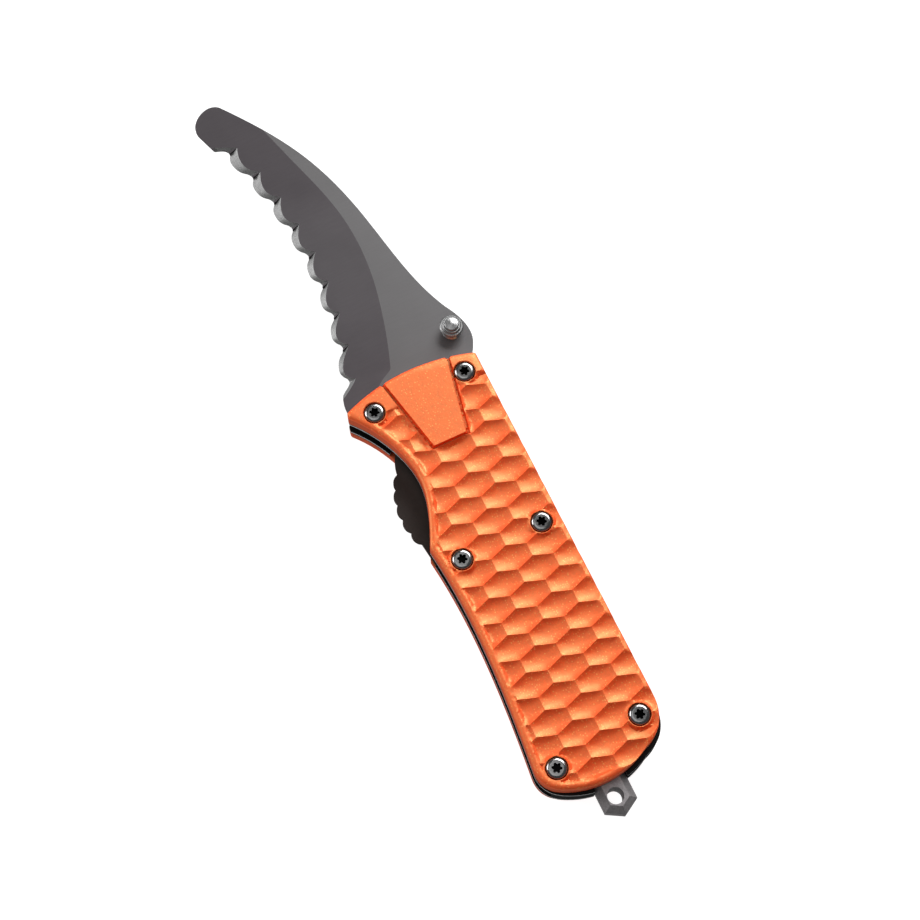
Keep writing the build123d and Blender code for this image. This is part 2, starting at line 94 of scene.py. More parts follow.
# ---- the scales' rims, and how the dimples run out toward rim, screws and nose, in mm ----
RIM_ROUND_W = 1.2
RIM_ROUND_H = 0.8
SPINE_ROUND_W = 2.6
SPINE_SIDE_Y = -3.0
SPINE_BLEND = 4.0
REAR_ROUND = 1.7
RIM_LAND = 1.4
NO_LAND = 6.0
SCREW_LAND = 2.7
FRONT_LAND_X = -1.6
LAND_SLOPE = 1.2
SCREW_SLOPE = 1.3

# ---- the scales' screw seats, pivot pocket and inner side, in millimetres ----
SEAT_GAP = 0.14
SEAT_CHAMFER = 0.18
HEAD_H = 1.6
SHANK_R = 1.35
POCKET_R = 4.65
POCKET_H = 1.25
INNER_GAP = 0.02

# ---- the badge on the front scale: a groove round a blank trapezoid, in millimetres ----
BADGE_FRONT_X = 8.0
BADGE_REAR_X = -14.7
BADGE_Y = -3.05
BADGE_FRONT_HALF = 9.15
BADGE_REAR_HALF = 4.55
GROOVE_HALF = 0.42
GROOVE_FLOOR = 0.24
GROOVE_DEPTH = 1.2
BADGE_LAND = 0.4

# ---- how finely the scales are meshed, in millimetres ----
OUTLINE_STEP = 0.5
THINNED_SHARE = 0.3
RIDGE_STEP = 0.55
GROOVE_STEP = 0.6
RIDGE_SPREAD = 5
GRID = 0.5
RIM_INSETS = (0.10, 0.26, 0.48, 0.76, 1.10)
RIDGE_RIM_MARGIN = 0.25
RING_RIM_MARGIN = 0.05
BADGE_MARGIN = 0.05
HOLE_MARGIN = 0.3
RING_GAP = 0.12
GRID_GAP = 0.27
HOLE_SIDES = 40
SHARP_DEG = 32

# ---- tolerances: two in metres, one of a normal, one in millimetres, two shares, two limits ----
WELD_M = 1e-6
AT_BASE_M = 2e-5
FLAT_NORMAL = 0.9
CDT_EPSILON = 1e-5
INSET_SHARE = 0.98
HOLE_SHARE = 0.99
TINY = 1e-12
FAR = 1e9

# ---- the colours of the orange nylon, with its painted shade, and of the steels' black coating, also used as painted shade ----
ORANGE_DARK = (0.80, 0.030, 0.001)
ORANGE_LIGHT = (0.90, 0.050, 0.001)
ORANGE_SPECK = (0.98, 0.36, 0.10)
# painted shade: the dark red-orange given to nylon low in grooves, seats and walls
ORANGE_PAINTED_SHADE = (0.52, 0.018, 0.001)
ORANGE_GLOSS = (0.96, 1.0, 0.40, 1.0)
# black of the liners' coating, and painted shade in the screw sockets
COAT_AND_SHADE_GREY = 0.004
COAT_GLOSS = (0.35, 0.35, 0.35, 1.0)

# ---- heights below a face, in mm: where painted shade turns a groove dark red-orange, and a socket black ----
# painted shade on the nylon, from the first height to the second
DEEP_SHADE_FROM, DEEP_SHADE_TO = 1.06, 1.16
# painted shade in the screw sockets, from the first height to the second
SOCKET_SHADE_FROM, SOCKET_SHADE_TO = 0.45, 0.75

# ---- noise ----
EVEN = (1, 1, 1)
NOISE_ROUGHNESS = 0.6

# ---- the colour mix node's sockets ----
MIX_SHARE, MIX_A, MIX_B, MIX_RESULT = 0, 6, 7, 2


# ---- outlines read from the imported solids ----

def base_loops(node, z_base):
    """The closed loops where a CAD scale's walls meet its flat inner face, in mm.

    The loop with the most points comes first.
    """
    bm = bmesh.new()
    bm.from_mesh(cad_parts[node].data)
    bmesh.ops.remove_doubles(bm, verts=bm.verts, dist=WELD_M)
    follow = {}
    for edge in bm.edges:
        flat = [abs(f.normal.z) > FLAT_NORMAL for f in edge.link_faces]
        at_base = all(abs(v.co.z - z_base) < AT_BASE_M for v in edge.verts)
        if at_base and len(flat) == 2 and flat[0] != flat[1]:
            a, b = edge.verts
            follow.setdefault(a.index, []).append(b.index)
            follow.setdefault(b.index, []).append(a.index)
    points = {v.index: (v.co.x / MM, v.co.y / MM) for v in bm.verts}
    bm.free()
    loops, left = [], set(follow)
    while left:
        start = min(left)
        loop, last, here = [start], None, start
        while True:
            ahead = [n for n in follow[here] if n != last]
            last, here = here, ahead[0]
            if here == start:
                break
            loop.append(here)
        left -= set(loop)
        loops.append([points[n] for n in loop])
    return sorted(loops, key=len, reverse=True)


def even_loop(points):
    """The loop with its long segments divided, and its crowded points thinned."""
    pts = [np.array(p) for p in points]
    kept = [pts[0]]
    for p in pts[1:]:
        if np.linalg.norm(p - kept[-1]) > OUTLINE_STEP * THINNED_SHARE:
            kept.append(p)
    out = []
    for a, b in zip(kept, kept[1:] + kept[:1]):
        parts = max(1, round(np.linalg.norm(b - a) / OUTLINE_STEP))
        out += [a + (b - a) * k / parts for k in range(parts)]
    return np.array(out)


def circle(x, y, radius):
    turn = np.arange(HOLE_SIDES) * 2 * math.pi / HOLE_SIDES
    return np.stack([x + radius * np.cos(turn), y + radius * np.sin(turn)], 1)


def distance_to_loop(points, loop):
    """Each point's distance to a closed loop of segments."""
    best = np.full(len(points), FAR)
    for p, q in zip(loop, np.roll(loop, -1, axis=0)):
        d = q - p
        t = np.clip(((points - p) @ d) / max(d @ d, TINY), 0, 1)
        gap = np.linalg.norm(points - (p + t[:, None] * d), axis=1)
        best = np.minimum(best, gap)
    return best


def distance_to(points, x, y):
    """Each point's distance to one place."""
    return np.hypot(points[:, 0] - x, points[:, 1] - y)


def inside_loop(points, loop):
    """Whether each point lies inside a closed loop."""
    x, y = points[:, 0], points[:, 1]
    odd = np.zeros(len(points), bool)
    for (ax, ay), (bx, by) in zip(loop, np.roll(loop, -1, axis=0)):
        if ay == by:
            continue
        crosses = (ay > y) != (by > y)
        odd ^= crosses & (x < (bx - ax) * (y - ay) / (by - ay) + ax)
    return odd


# ---- the height of a scale's outer face ----

def row_of(x):
    """Which row of dimples a place along the handle is in, the inverse of row_x."""
    root = np.sqrt(ROW_PITCH**2 + 4 * ROW_GROWTH * (x - ROW_X))
    return (root - ROW_PITCH) / (2 * ROW_GROWTH)


def row_x(row):
    """Where a row of dimples lies. The rows are a little closer together toward the butt."""
    return ROW_X + ROW_PITCH * row + ROW_GROWTH * row**2


def lattice_near(points):
    """Each point's offset from the nearest dimple's centre, with the cells pressed to regular."""
    along, y = row_of(points[:, 0]), points[:, 1]
    best = np.full(len(points), FAR)
    off = np.zeros((len(points), 2))
    for step in (-1, 0, 1):
        row = np.round(along) + step
        shift = np.where(row % 2 == 0, 0.0, CELL_Y)
        col = np.round((y - LATTICE_Y - shift) / (2 * CELL_Y))
        px = (along - row) * ROW_PITCH
        py = (y - LATTICE_Y - shift - col * 2 * CELL_Y) * STRETCH
        square = px * px + py * py
        nearer = square < best
        best = np.where(nearer, square, best)
        off[nearer] = np.stack([px, py], 1)[nearer]
    return off


NEIGHBOURS = np.array([
    (ROW_PITCH, CELL_Y * STRETCH), (ROW_PITCH, -CELL_Y * STRETCH),
    (-ROW_PITCH, CELL_Y * STRETCH), (-ROW_PITCH, -CELL_Y * STRETCH),
    (0, 2 * CELL_Y * STRETCH), (0, -2 * CELL_Y * STRETCH)])
CELL_R = ROW_PITCH / 2 + (CELL_Y * STRETCH) ** 2 / (2 * ROW_PITCH)


def dimple_depth(points):
    """A smooth scoop in each hexagonal cell, with ridges between them."""
    off = lattice_near(points)
    reach = (off @ NEIGHBOURS.T) * 2 / (NEIGHBOURS ** 2).sum(1)
    edge = np.clip(reach.max(1), 0, 1)
    radius = np.linalg.norm(off, axis=1) / CELL_R
    share = np.sqrt(np.clip(edge * radius, 0, 1))
    return DIMPLE_DEPTH * (1 - share ** DIMPLE_POWER)


def badge_corners(grow):
    """The badge's corners, front spine to rear to front belly, moved out on three sides."""
    return np.array([
        (BADGE_FRONT_X, BADGE_Y - BADGE_FRONT_HALF - grow),
        (BADGE_REAR_X - grow, BADGE_Y - BADGE_REAR_HALF - grow),
        (BADGE_REAR_X - grow, BADGE_Y + BADGE_REAR_HALF + grow),
        (BADGE_FRONT_X, BADGE_Y + BADGE_FRONT_HALF + grow)])


def face_depth(points, outline, screws, front):
    """How far the outer face lies below its highest plane."""
    rim = distance_to_loop(points, outline)
    spine_side = np.clip((SPINE_SIDE_Y - points[:, 1]) / SPINE_BLEND, 0, 1)
    room = np.minimum(rim - RIM_LAND + NO_LAND * spine_side, FRONT_LAND_X - points[:, 0])
    seats = np.full(len(points), FAR)
    for x, y, radius in screws:
        away = distance_to(points, x, y)
        room = np.minimum(room, (away - SCREW_LAND) * SCREW_SLOPE / LAND_SLOPE)
        seats = np.minimum(seats, away - radius)
    groove = np.zeros(len(points))
    if front:
        corners = badge_corners(0)
        gap = distance_to_loop(points, corners)
        room = np.minimum(room, np.where(inside_loop(points, corners), 0, gap - BADGE_LAND))
        groove = GROOVE_DEPTH * np.clip((GROOVE_HALF - gap) / (GROOVE_HALF - GROOVE_FLOOR), 0, 1)
    dimples = np.minimum(dimple_depth(points), LAND_SLOPE * np.clip(room, 0, None))
    round_w = RIM_ROUND_W + (SPINE_ROUND_W - RIM_ROUND_W) * spine_side if front else REAR_ROUND
    near = np.clip(1 - rim / round_w, 0, 1)
    drop = (RIM_ROUND_H if front else REAR_ROUND) * (1 - np.sqrt(1 - near ** 2))
    return np.maximum(dimples, drop) + groove + np.clip(SEAT_CHAMFER - seats, 0, None)


# ---- the triangulated outer face ----

def ridge_lines(outline):
    """The edges of all the hexagonal cells that may lie on the face, each of them once."""
    low, high = outline.min(0) - RIDGE_SPREAD, outline.max(0) + RIDGE_SPREAD
    half_side = 1 - CELL_R / ROW_PITCH
    lines = []
    for row in range(int(row_of(low[0])) - 1, int(row_of(high[0])) + 2):
        shift = CELL_Y if row % 2 else 0.0
        first = int((low[1] - LATTICE_Y) / (2 * CELL_Y)) - 1
        last = int((high[1] - LATTICE_Y) / (2 * CELL_Y)) + 2
        for col in range(first, last):
            y = LATTICE_Y + shift + col * 2 * CELL_Y
            point = np.array([row_x(row + 1 - half_side), y])
            upper = np.array([row_x(row + half_side), y + CELL_Y])
            lower = np.array([row_x(row + half_side), y - CELL_Y])
            low_upper = np.array([row_x(row - half_side), y + CELL_Y])
            lines += [(point, upper), (point, lower), (upper, low_upper)]
    return lines


def sampled(a, b, step):
    """Evenly spaced points along a segment, with both its ends."""
    count = max(1, round(np.linalg.norm(b - a) / step))
    return [a + (b - a) * k / count for k in range(count + 1)]


class Flat:
    """Points and constraint edges to be triangulated."""

    def __init__(self):
        self.points = []
        self.edges = []

    def add_loop(self, loop):
        start = len(self.points)
        self.points += [tuple(p) for p in loop]
        count = len(loop)
        self.edges += [(start + k, start + (k + 1) % count) for k in range(count)]
        return list(range(start, start + count))

    def add_line(self, line, keep):
        """A line of points, broken where one isn't kept."""
        last = None
        for p, ok in zip(line, keep):
            if ok:
                self.points.append(tuple(p))
                here = len(self.points) - 1
                if last is not None:
                    self.edges.append((last, here))
                last = here
            else:
                last = None

    def add_points(self, pts):
        self.points += [tuple(p) for p in pts]

    def triangulate(self):
        """The points, the triangles, and where each point given went."""
        verts = [Vector((float(x), float(y))) for x, y in self.points]
        out = delaunay_2d_cdt(verts, self.edges, [], 0, CDT_EPSILON)
        place = {}
        for new, olds in enumerate(out[3]):
            for old in olds:
                place[old] = new
        return np.array([(v.x, v.y) for v in out[0]]), [tuple(f) for f in out[2]], place


def well_inside(points, outline, holes, margin):
    """Which points keep a margin from the outline, and the usual one from the holes."""
    ok = inside_loop(points, outline) & (distance_to_loop(points, outline) > margin)
    for x, y, radius in holes:
        ok &= distance_to(points, x, y) > radius + HOLE_MARGIN
    return ok


def on_plate(points, triangles, outline, holes):
    """The triangles that lie inside the outline and outside the holes.

    A known fault: the slivers between three neighbouring points of a hole's circle pass too, and
    so do some of no width along straight stretches of the outline. They are stray faces.
    """
    middle = np.array([points[list(t)].mean(0) for t in triangles])
    ok = inside_loop(middle, outline)
    for x, y, radius in holes:
        ok &= distance_to(middle, x, y) > radius * HOLE_SHARE
    return [t for t, kept in zip(triangles, ok) if kept]


def clear_of(points, taken, gap):
    """Which points keep a distance from all those already taken."""
    tree = KDTree(len(taken))
    for n, (x, y) in enumerate(taken):
        tree.insert((x, y, 0), n)
    tree.balance()
    return np.array([tree.find((x, y, 0))[2] > gap for x, y in points])


def grid_points(outline):
    """A triangular grid over the face."""
    low, high = outline.min(0), outline.max(0)
    xs = np.arange(low[0], high[0], GRID)
    ys = np.arange(low[1], high[1], GRID)
    grid = np.stack(np.meshgrid(xs, ys, indexing="ij"), -1)
    grid[1::2, :, 1] += GRID / 2
    return grid.reshape(-1, 2)


def inset_ring(outline, inset):
    """The outline's points moved inward, without those that would crowd together in a corner."""
    along = np.roll(outline, -1, axis=0) - np.roll(outline, 1, axis=0)
    inward = np.stack([-along[:, 1], along[:, 0]], 1) / np.linalg.norm(along, axis=1)[:, None]
    if inside_loop(outline + inward * RIM_INSETS[0], outline).mean() < 0.5:
        inward = -inward
    ring = outline + inward * inset
    return ring[distance_to_loop(ring, outline) > inset * INSET_SHARE]


def face_lines(outline, badge):
    """The ridges between the dimples, and the badge's groove on the scale that has one."""
    lines = [np.array(sampled(a, b, RIDGE_STEP)) for a, b in ridge_lines(outline)]
    if badge:
        for grow in (-GROOVE_HALF, -GROOVE_FLOOR, GROOVE_FLOOR, GROOVE_HALF):
            corner = badge_corners(grow)
            lines += [np.array(sampled(a, b, GROOVE_STEP)) for a, b in zip(corner, corner[1:])]
    return lines


def outer_face(outline, holes, badge):
    """The face's flat points, triangles, and where its loops went."""
    flat = Flat()
    rim = flat.add_loop(outline)
    rings = [flat.add_loop(circle(*hole)) for hole in holes]
    lines = face_lines(outline, badge)
    points = np.concatenate(lines)
    keep = well_inside(points, outline, holes, RIDGE_RIM_MARGIN)
    if badge:
        keep &= ~inside_loop(points, badge_corners(-GROOVE_HALF - BADGE_MARGIN))
    ends = np.cumsum([len(line) for line in lines])[:-1]
    for line, ok in zip(lines, np.split(keep, ends)):
        flat.add_line(line, ok)
    taken = [points[keep]]
    for x, y, radius in holes:
        ring = circle(x, y, radius + SEAT_CHAMFER)
        flat.add_points(ring)
        taken.append(ring)
    for inset in RIM_INSETS:
        ring = inset_ring(outline, inset)
        ring = ring[well_inside(ring, outline, holes, RING_RIM_MARGIN)]
        ring = ring[clear_of(ring, points[keep], RING_GAP)]
        flat.add_points(ring)
        taken.append(ring)
    grid = grid_points(outline)
    grid = grid[well_inside(grid, outline, holes, RIM_INSETS[-1])]
    flat.add_points(grid[clear_of(grid, np.concatenate(taken), GRID_GAP)])
    pts, tris, place = flat.triangulate()
    rim_now = [place[n] for n in rim]
    rings_now = [[place[n] for n in ring] for ring in rings]
    return pts, on_plate(pts, tris, outline, holes), rim_now, rings_now


# ---- a whole scale ----

class Shell:
    """Vertices and faces of one mesh, in millimetres."""

    def __init__(self):
        self.verts = []
        self.faces = []

    def add(self, xy, z):
        """Vertices at one height or at a height each. Gives their numbers."""
        start = len(self.verts)
        heights = np.broadcast_to(z, (len(xy),))
        self.verts += [(float(p[0]), float(p[1]), float(h)) for p, h in zip(xy, heights)]
        return list(range(start, start + len(xy)))

    def bridge(self, a, b):
        """A band of faces between two closed loops of as many vertices."""
        count = len(a)
        for k in range(count):
            n = (k + 1) % count
            self.faces.append((a[k], a[n], b[n], b[k]))

    def build(self, name, material):
        mesh = bpy.data.meshes.new(name)
        mesh.from_pydata([tuple(c * MM for c in v) for v in self.verts], [], self.faces)
        bm = bmesh.new()
        bm.from_mesh(mesh)
        loose = [v for v in bm.verts if not v.link_faces]
        bmesh.ops.delete(bm, geom=loose, context="VERTS")
        bmesh.ops.recalc_face_normals(bm, faces=bm.faces)
        bm.to_mesh(mesh)
        bm.free()
        mesh.shade_smooth()
        mesh.set_sharp_from_angle(angle=math.radians(SHARP_DEG))
        mesh.materials.append(material)
        obj = bpy.data.objects.new(name, mesh)
        bpy.context.scene.collection.objects.link(obj)
        return obj


def screw_centres(side):
    """Where the screws on one side sit, and their heads' radii, in mm."""
    found = []
    for place in SCREW_PLACES:
        low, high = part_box(f"{side}_screw_{place}")
        x, y = (low[0] + high[0]) / 2 / MM, (low[1] + high[1]) / 2 / MM
        found.append((x, y, (high[0] - low[0]) / 2 / MM))
    return found


def inner_side(shell, outline, rim, holes, z):
    """The flat inner side, between its rim and its holes. Gives each hole's vertices."""
    flat = Flat()
    flat_rim = flat.add_loop(outline)
    flat_rings = [flat.add_loop(circle(*hole)) for hole in holes]
    pts, tris, place = flat.triangulate()
    link = {place[n]: v for n, v in zip(flat_rim, rim)}
    rings = []
    for hole, flat_ring in zip(holes, flat_rings):
        ring = shell.add(circle(*hole), z)
        rings.append(ring)
        link.update({place[n]: v for n, v in zip(flat_ring, ring)})
    shell.faces += [tuple(link[n] for n in t) for t in on_plate(pts, tris, outline, holes)]
    return rings


def make_scale(side):
    """One moulded scale with its dimpled face, screw seats and pivot pocket."""
    front = side == "front"
    node = f"{side}_scale"
    low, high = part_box(node)
    face_z, base_z = (high[2] / MM, low[2] / MM) if front else (low[2] / MM, high[2] / MM)
    out = 1 if front else -1
    loops = base_loops(node, base_z * MM)
    lengths = [np.ptp(np.array(loop)[:, 0]) for loop in loops]
    outline = even_loop(loops[int(np.argmax(lengths))])
    heads = screw_centres(side)
    seat_r = heads[0][2] + SEAT_GAP
    screw_low, screw_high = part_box(f"{side}_screw_nose")
    head_z = (screw_high[2] if front else screw_low[2]) / MM
    seat_z = head_z - out * HEAD_H
    seats = [(x, y, seat_r) for x, y, _ in heads]
    pts, tris, rim, rings = outer_face(outline, seats, front)
    depth = face_depth(pts, outline, seats, front)
    shell = Shell()
    top = shell.add(pts, face_z - out * depth)
    shell.faces += [tuple(top[n] for n in t) for t in tris]
    inner_z = base_z + out * INNER_GAP
    base_rim = shell.add(pts[rim], inner_z)
    shell.bridge([top[n] for n in rim], base_rim)
    bores = [(x, y, SHANK_R) for x, y, _ in heads] + [(0.0, 0.0, POCKET_R)]
    bore_rings = inner_side(shell, pts[rim], base_rim, bores, inner_z)
    for (x, y, _), ring, bore_ring in zip(heads, rings, bore_rings):
        seat_out = shell.add(circle(x, y, seat_r), seat_z)
        seat_in = shell.add(circle(x, y, SHANK_R), seat_z)
        shell.bridge([top[n] for n in ring], seat_out)
        shell.bridge(seat_out, seat_in)
        shell.bridge(seat_in, bore_ring)
    pocket = shell.add(circle(0, 0, POCKET_R), base_z + out * POCKET_H)
    shell.bridge(bore_rings[-1], pocket)
    shell.faces.append(tuple(pocket))
    obj = shell.build(f"{side}_scale_dimpled", orange_plastic(side, face_z * MM, -out))
    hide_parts(node)
    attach(obj, "handle")
    return obj


# ---- materials ----

def new_material(name):
    mat = bpy.data.materials.new(name)
    mat.use_nodes = True
    return mat, mat.node_tree, mat.node_tree.nodes["Principled BSDF"]


def coordinates(tree, scale=EVEN):
    """Object coordinates, stretched by a scale vector."""
    coord = tree.nodes.new("ShaderNodeTexCoord")
    mapping = tree.nodes.new("ShaderNodeMapping")
    mapping.inputs["Scale"].default_value = scale
    tree.links.new(coord.outputs["Object"], mapping.inputs["Vector"])
    return mapping.outputs["Vector"]


def noise(tree, vector, scale, detail):
    node = tree.nodes.new("ShaderNodeTexNoise")
    node.inputs["Scale"].default_value = scale
    node.inputs["Detail"].default_value = detail
    node.inputs["Roughness"].default_value = NOISE_ROUGHNESS
    tree.links.new(vector, node.inputs["Vector"])
    return node.outputs["Fac"]


def ramp(tree, value, stops):
    """A value turned into a colour, by stops that are each a place and a colour."""
    node = tree.nodes.new("ShaderNodeValToRGB")
    ends = node.color_ramp.elements
    while len(ends) < len(stops):
        ends.new(0.5)
    for end, (at, color) in zip(ends, stops):
        end.position = at
        end.color = (*color, 1.0)
    tree.links.new(value, node.inputs["Fac"])
    return node.outputs["Color"]


def grey(value):
    return (value, value, value)


def bump(tree, height, strength, distance):
    node = tree.nodes.new("ShaderNodeBump")
    node.inputs["Strength"].default_value = strength
    node.inputs["Distance"].default_value = distance
    tree.links.new(height, node.inputs["Height"])
    return node.outputs["Normal"]


def mix_color(tree, share, a, b, mode="MIX"):
    """Two colours mixed by a share. Each of the three is a value or another node's output."""
    node = tree.nodes.new("ShaderNodeMix")
    node.data_type = "RGBA"
    node.blend_type = mode
    for place, value in ((MIX_SHARE, share), (MIX_A, a), (MIX_B, b)):
        socket = node.inputs[place]
        if isinstance(value, bpy.types.NodeSocket):
            tree.links.new(value, socket)
        elif isinstance(value, tuple):
            socket.default_value = (*value, 1.0)
        else:
            socket.default_value = value
    return node.outputs[MIX_RESULT]


def orange_plastic(side, face, inward):
    """Moulded orange nylon: a fine grain, soft clouds and light specks, with painted shade making
    it redder low in grooves and wherever it lies that far below the face.
    """
    mat, tree, bsdf = new_material(f"orange_plastic_{side}")
    vector = coordinates(tree)
    cloud = noise(tree, vector, 420.0, 4.0)
    base = ramp(tree, cloud, [(0.3, ORANGE_DARK), (0.7, ORANGE_LIGHT)])
    specks = tree.nodes.new("ShaderNodeTexVoronoi")
    specks.inputs["Scale"].default_value = 1900.0
    tree.links.new(vector, specks.inputs["Vector"])
    dots = ramp(tree, specks.outputs["Distance"], [(0.16, grey(0.75)), (0.34, grey(0.0))])
    pick = ramp(tree, specks.outputs["Color"], [(0.48, grey(0.0)), (0.60, grey(1.0))])
    light = mix_color(tree, 1.0, dots, pick, "MULTIPLY")
    color = mix_color(tree, light, base, ORANGE_SPECK)
    grain = noise(tree, vector, 2200.0, 3.0)
    mottle = ramp(tree, grain, [(0.3, grey(0.82)), (0.7, grey(1.0))])
    color = mix_color(tree, 1.0, color, mottle, "MULTIPLY")
    # painted shade: below these heights the nylon turns dark red-orange, in grooves, seats and the
    # lower walls
    deep_shade = height(tree, face + inward * DEEP_SHADE_FROM * MM, face + inward * DEEP_SHADE_TO * MM)
    color = mix_color(tree, deep_shade, color, ORANGE_PAINTED_SHADE)
    tree.links.new(color, bsdf.inputs["Base Color"])
    rough = ramp(tree, grain, [(0.3, grey(0.46)), (0.7, grey(0.58))])
    tree.links.new(rough, bsdf.inputs["Roughness"])
    bsdf.inputs["IOR"].default_value = 1.72
    bsdf.inputs["Specular IOR Level"].default_value = 1.0
    bsdf.inputs["Specular Tint"].default_value = ORANGE_GLOSS
    bsdf.inputs["Subsurface Weight"].default_value = 0.08
    bsdf.inputs["Subsurface Radius"].default_value = (1.0, 0.3, 0.1)
    bsdf.inputs["Subsurface Scale"].default_value = 0.0005
    tree.links.new(bump(tree, grain, 0.5, 0.00008), bsdf.inputs["Normal"])
    return mat


def height(tree, low, high):
    """Where a point stands between two heights, from 0 at the first to 1 at the second."""
    coord = tree.nodes.new("ShaderNodeTexCoord")
    parts = tree.nodes.new("ShaderNodeSeparateXYZ")
    tree.links.new(coord.outputs["Object"], parts.inputs["Vector"])
    span = tree.nodes.new("ShaderNodeMapRange")
    span.inputs["From Min"].default_value = low
    span.inputs["From Max"].default_value = high
    tree.links.new(parts.outputs["Z"], span.inputs["Value"])
    return span.outputs["Result"]


def coated_blade():
    """Blade steel with a charcoal coating: brushed across, with painted shade making the grind
    darker than the flat, bare at the bevels.
    """
    mat, tree, bsdf = new_material("coated_blade")
    geometry = tree.nodes.new("ShaderNodeNewGeometry")
    parts = tree.nodes.new("ShaderNodeSeparateXYZ")
    tree.links.new(geometry.outputs["Normal"], parts.inputs["Vector"])
    upright = tree.nodes.new("ShaderNodeMath")
    upright.operation = "ABSOLUTE"
    tree.links.new(parts.outputs["Z"], upright.inputs[0])
    lines = noise(tree, coordinates(tree, (1.0, 0.06, 1.0)), 2200.0, 2.0)
    blotch = noise(tree, coordinates(tree), 60.0, 2.0)
    flat = ramp(tree, lines, [(0.3, (0.100, 0.096, 0.098)), (0.7, (0.104, 0.100, 0.102))])
    # painted shade: the grind, told from the flat by its tilt, gets a darker colour
    grind_painted_shade = ramp(tree, lines, [(0.3, (0.068, 0.059, 0.065)), (0.7, (0.072, 0.063, 0.069))])
    on_grind = ramp(tree, upright.outputs[0], [(0.9975, grey(1.0)), (0.9990, grey(0.0))])
    color = mix_color(tree, on_grind, flat, grind_painted_shade)
    shade = ramp(tree, blotch, [(0.3, grey(0.94)), (0.7, grey(1.0))])
    color = mix_color(tree, 1.0, color, shade, "MULTIPLY")
    slopes = [(0.05, grey(0.0)), (0.12, grey(1.0)), (0.955, grey(1.0)), (0.975, grey(0.0))]
    on_bevel = ramp(tree, upright.outputs[0], slopes)
    speckle = noise(tree, coordinates(tree), 3500.0, 2.0)
    bare = ramp(tree, speckle, [(0.3, grey(0.17)), (0.7, grey(0.30))])
    color = mix_color(tree, on_bevel, color, bare)
    tree.links.new(color, bsdf.inputs["Base Color"])
    bsdf.inputs["Metallic"].default_value = 0.40
    rough = ramp(tree, blotch, [(0.3, grey(0.40)), (0.7, grey(0.46))])
    tree.links.new(rough, bsdf.inputs["Roughness"])
    tree.links.new(bump(tree, lines, 0.025, 0.00003), bsdf.inputs["Normal"])
    return mat


def steel(name, dark, light, rough, scale=EVEN, metallic=1.0, bump_strength=0.1, coat_and_painted_light=None):
    """A plain steel with fine lines or grain.

    One given a coating gets two heights and a ramp between them, and is black where the ramp is
    white: that black is the liners' real coating, and painted shade in the screw sockets. On the
    liners the rest of the ramp leaves a painted highlight line.
    """
    mat, tree, bsdf = new_material(name)
    lines = noise(tree, coordinates(tree, scale), 2500.0, 2.0)
    smudge = noise(tree, coordinates(tree), 250.0, 3.0)
    color = ramp(tree, lines, [(0.3, dark), (0.7, light)])
    if coat_and_painted_light:
        low, high, stops = coat_and_painted_light
        share = ramp(tree, height(tree, low, high), stops)
        # black: the liners' coating, and painted shade in the screw sockets
        color = mix_color(tree, share, color, grey(COAT_AND_SHADE_GREY))
        bsdf.inputs["Specular Tint"].default_value = COAT_GLOSS
    tree.links.new(color, bsdf.inputs["Base Color"])
    bsdf.inputs["Metallic"].default_value = metallic
    spread = ramp(tree, smudge, [(0.3, grey(rough * 0.85)), (0.7, grey(rough * 1.15))])
    tree.links.new(spread, bsdf.inputs["Roughness"])
    tree.links.new(bump(tree, lines, bump_strength, 0.00003), bsdf.inputs["Normal"])
    return mat


def black_plastic():
    """Moulded black plastic with a fine grain."""
    mat, tree, bsdf = new_material("black_plastic")
    grain = noise(tree, coordinates(tree), 2400.0, 2.0)
    color = ramp(tree, grain, [(0.3, grey(0.006)), (0.7, grey(0.014))])
    tree.links.new(color, bsdf.inputs["Base Color"])
    rough = ramp(tree, grain, [(0.3, grey(0.45)), (0.7, grey(0.6))])
    tree.links.new(rough, bsdf.inputs["Roughness"])
    bsdf.inputs["Specular IOR Level"].default_value = 0.06
    tree.links.new(bump(tree, grain, 0.3, 0.00005), bsdf.inputs["Normal"])
    return mat


def paint(node, material):
    """Give a CAD node its material."""
    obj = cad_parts[node]
    if not obj.material_slots:
        obj.data.materials.append(material)
    for slot in obj.material_slots:
        slot.material = material


def dress_screws():
    """The scale screws, bright on the rounded head, with painted shade making them black down in
    the socket.
    """
    for side in ("front", "rear"):
        low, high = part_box(f"{side}_screw_nose")
        face, inward = (high[2], -1) if side == "front" else (low[2], 1)
        first, last = face + inward * SOCKET_SHADE_FROM * MM, face + inward * SOCKET_SHADE_TO * MM
        # painted shade: the socket turns black below a set depth under the head's top
        socket = (first, last, [(0.0, grey(0.0)), (1.0, grey(1.0))])
        screw = steel(f"{side}_screw_steel", grey(0.26), grey(0.34), 0.20, coat_and_painted_light=socket)
        for place in SCREW_PLACES:
            paint(f"{side}_screw_{place}", screw)


def dress_liners():
    """The liners in a black coating, with a painted highlight: a fine bright line along the middle
    of their edges.
    """
    # painted highlight: the middle of each liner's edge keeps bright steel, the rest is black
    # coating
    coating_and_highlight_stops = [(0.28, grey(1.0)), (0.38, grey(0.0)), (0.62, grey(0.0)), (0.72, grey(1.0))]
    for side in ("front", "rear"):
        low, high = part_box(f"{side}_liner")
        coating_and_highlight = (low[2], high[2], coating_and_highlight_stops)
        # this steel colour shows only in the painted highlight line
        finish = steel(f"{side}_liner_steel", grey(0.60), grey(0.75), 0.40,
                       scale=(0.1, 1, 1), metallic=0.3, coat_and_painted_light=coating_and_highlight)
        paint(f"{side}_liner", finish)


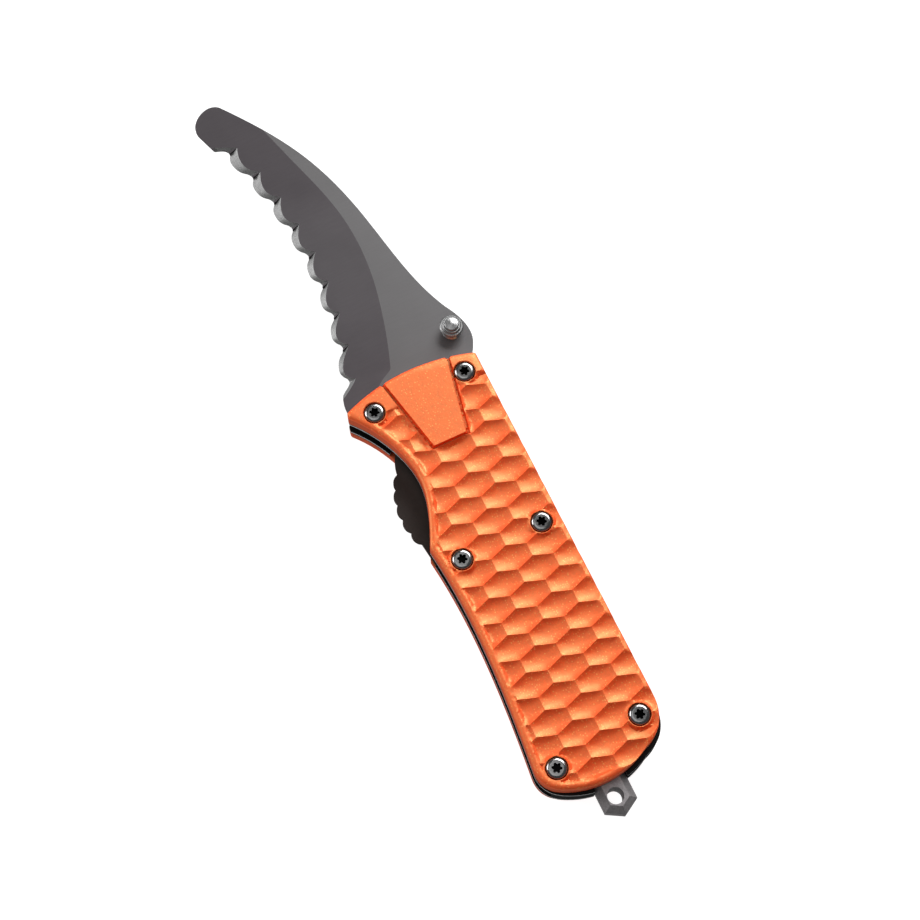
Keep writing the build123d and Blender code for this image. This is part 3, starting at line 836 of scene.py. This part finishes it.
def dress():
    """Every CAD node that stays visible gets its finish."""
    bright = steel("bright_steel", grey(0.50), grey(0.60), 0.25)
    stud = steel("stud_steel", grey(0.24), grey(0.36), 0.36, metallic=0.9, bump_strength=0.4)
    oxide = steel("black_spring_steel", (0.015, 0.007, 0.004), (0.020, 0.010, 0.006), 0.55,
                  metallic=0.2)
    lug = steel("lug_steel", (0.27, 0.255, 0.26), (0.40, 0.38, 0.385), 0.38,
                metallic=0.6, bump_strength=0.3)
    bronze = steel("bronze", (0.50, 0.32, 0.13), (0.58, 0.38, 0.17), 0.35)
    dress_screws()
    dress_liners()
    for node in ("stop_pin", "spine_pillar", "butt_spine_pillar", "pivot_barrel", "pivot_screw",
                 "detent_ball"):
        paint(node, bright)
    for node in ("front_washer", "rear_washer"):
        paint(node, bronze)
    paint("thumb_stud", stud)
    paint("lock_bar", oxide)
    paint("lanyard_lug", lug)
    paint("blade", coated_blade())
    paint("back_spacer", black_plastic())


# ---- the studio ----

def heading():
    """Level directions in the frame: into the picture, and to the picture's right."""
    ahead = Vector((-math.sin(AZIMUTH), math.cos(AZIMUTH), 0))
    return ahead, Vector((ahead.y, -ahead.x, 0))


def make_camera():
    ahead, _ = heading()
    forward = ahead * math.cos(ELEVATION) - Vector((0, 0, math.sin(ELEVATION)))
    aim = Vector((*AIM_XY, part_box("front_scale")[1][2]))
    data = bpy.data.cameras.new("camera")
    data.lens = FOCAL_MM
    data.sensor_width = SENSOR_MM
    data.clip_start, data.clip_end = CLIP
    camera = bpy.data.objects.new("camera", data)
    camera.location = aim - forward * DISTANCE
    camera.rotation_mode = "QUATERNION"
    camera.rotation_quaternion = forward.to_track_quat("-Z", "Y")
    bpy.context.scene.collection.objects.link(camera)
    bpy.context.scene.camera = camera


def make_light(name, size, energy, right, ahead_by, above):
    """A soft square light, aimed at the knife's middle."""
    ahead, to_right = heading()
    data = bpy.data.lights.new(name, "AREA")
    data.size = size
    data.energy = energy
    light = bpy.data.objects.new(name, data)
    target = Vector((*AIM_XY, 0))
    light.location = target + to_right * right + ahead * ahead_by + Vector((0, 0, above))
    light.rotation_mode = "QUATERNION"
    light.rotation_quaternion = (target - light.location).to_track_quat("-Z", "Y")
    bpy.context.scene.collection.objects.link(light)


def make_floor():
    """A plain white floor, just under the knife."""
    mesh = bpy.data.meshes.new("floor")
    z = cad_box[0].z - FLOOR_GAP
    far = FLOOR_HALF
    corners = [(-far, -far, z), (far, -far, z), (far, far, z), (-far, far, z)]
    mesh.from_pydata(corners, [], [(0, 1, 2, 3)])
    mat, _, bsdf = new_material("floor_white")
    bsdf.inputs["Base Color"].default_value = (*grey(FLOOR_GREY), 1)
    bsdf.inputs["Roughness"].default_value = FLOOR_ROUGHNESS
    bsdf.inputs["Specular IOR Level"].default_value = 0.0
    bsdf.inputs["Emission Color"].default_value = (1, 1, 1, 1)
    bsdf.inputs["Emission Strength"].default_value = FLOOR_GLOW
    mesh.materials.append(mat)
    floor = bpy.data.objects.new("floor", mesh)
    bpy.context.scene.collection.objects.link(floor)
    floor.visible_glossy = False


def make_world():
    world = bpy.data.worlds.new("studio")
    bpy.context.scene.world = world
    world.use_nodes = True
    background = world.node_tree.nodes["Background"]
    background.inputs["Color"].default_value = (1, 1, 1, 1)
    background.inputs["Strength"].default_value = WORLD_STRENGTH


make_scale("front")
make_scale("rear")
dress()
make_camera()
for light in LIGHTS:
    make_light(*light)
make_floor()
make_world()
bpy.context.scene.view_settings.view_transform = "Standard"
